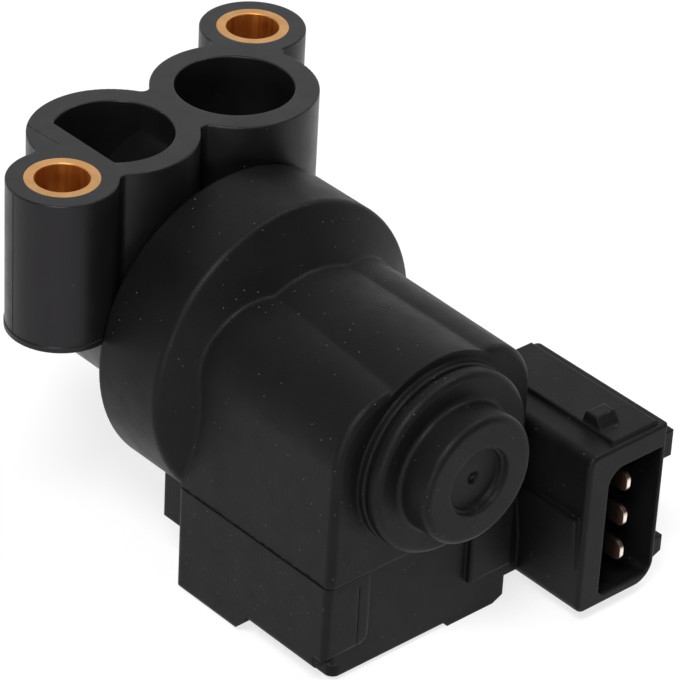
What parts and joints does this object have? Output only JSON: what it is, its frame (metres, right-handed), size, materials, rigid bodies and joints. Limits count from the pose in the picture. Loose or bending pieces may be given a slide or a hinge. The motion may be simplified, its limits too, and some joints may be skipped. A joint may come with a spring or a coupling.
{
  "type": "idle air control valve",
  "caption": "Rotary-slide idle air control valve: flange with a round and a D-shaped port, bushed screw bosses, torque motor in a black housing, side connector with blade terminals.",
  "frame": {"origin": "on the flange face, midway between the two air ports", "axes": "+Z out of the flange face; the motor axis lies along Y, and its end boss and the connector mouth face -Y; +X from the D-shaped port to the round one"},
  "size_m": [0.0602, 0.0737, 0.0526],
  "materials": {
    "satin_black_plastic": "smooth satin black moulding",
    "grained_black_plastic": "fine-grained matte black moulding",
    "bush_bronze": "turned, tan and slightly dull",
    "slide_aluminium": "machined",
    "ground_steel": "ground",
    "hub_aluminium": "turned",
    "magnet_sinter": "dark sintered magnet",
    "bearing_steel": "polished bearing steel",
    "cage_steel": "pressed sheet",
    "seal_rubber": "moulded",
    "lamination_steel": "stacked laminations",
    "bobbin_plastic": "natural nylon",
    "copper_wire": "enamelled copper",
    "terminal_bronze": "stamped strip"
  },
  "bodies": {
    "housing": {"valve_body": "satin_black_plastic", "mounting_bush_1": "bush_bronze", "mounting_bush_2": "bush_bronze", "chamber_cap": "satin_black_plastic", "seal_ring": "seal_rubber", "actuator_housing": "grained_black_plastic", "left_pole_piece": "lamination_steel", "right_pole_piece": "lamination_steel", "yoke": "lamination_steel", "coil_bobbin": "bobbin_plastic", "opening_winding": "copper_wire", "closing_winding": "copper_wire", "terminal_1": "terminal_bronze", "terminal_2": "terminal_bronze", "terminal_3": "terminal_bronze", "front_bearing_outer_ring": "bearing_steel", "rear_bearing_outer_ring": "bearing_steel", "shim_washer": "ground_steel"},
    "rotor": {"shaft": "ground_steel", "rotor_hub": "hub_aluminium", "rotor_magnet": "magnet_sinter", "rotary_slide": "slide_aluminium", "front_bearing_inner_ring": "bearing_steel", "rear_bearing_inner_ring": "bearing_steel"},
    "front_cage": {"front_bearing_cage": "cage_steel", "front_bearing_balls": "bearing_steel"},
    "rear_cage": {"rear_bearing_cage": "cage_steel", "rear_bearing_balls": "bearing_steel"}
  },
  "joints": [
    {"name": "slide_turn", "type": "hinge", "parent": "housing", "child": "rotor", "pos_m": [0, 0, -0.0238], "axis": [0, -1, 0], "range_deg": [-20, 28], "stiffness_Nm_per_rad": 0.02},
    {"name": "front_cage_roll", "type": "hinge", "parent": "housing", "child": "front_cage", "pos_m": [0, -0.05105, -0.0238], "axis": [0, -1, 0], "range_deg": [-10, 12]},
    {"name": "rear_cage_roll", "type": "hinge", "parent": "housing", "child": "rear_cage", "pos_m": [0, -0.0145, -0.0238], "axis": [0, -1, 0], "range_deg": [-10, 12]}
  ],
  "couplings": [
    {"joint": "front_cage_roll", "follows": "slide_turn", "ratio": 0.3765},
    {"joint": "rear_cage_roll", "follows": "slide_turn", "ratio": 0.3765}
  ]
}
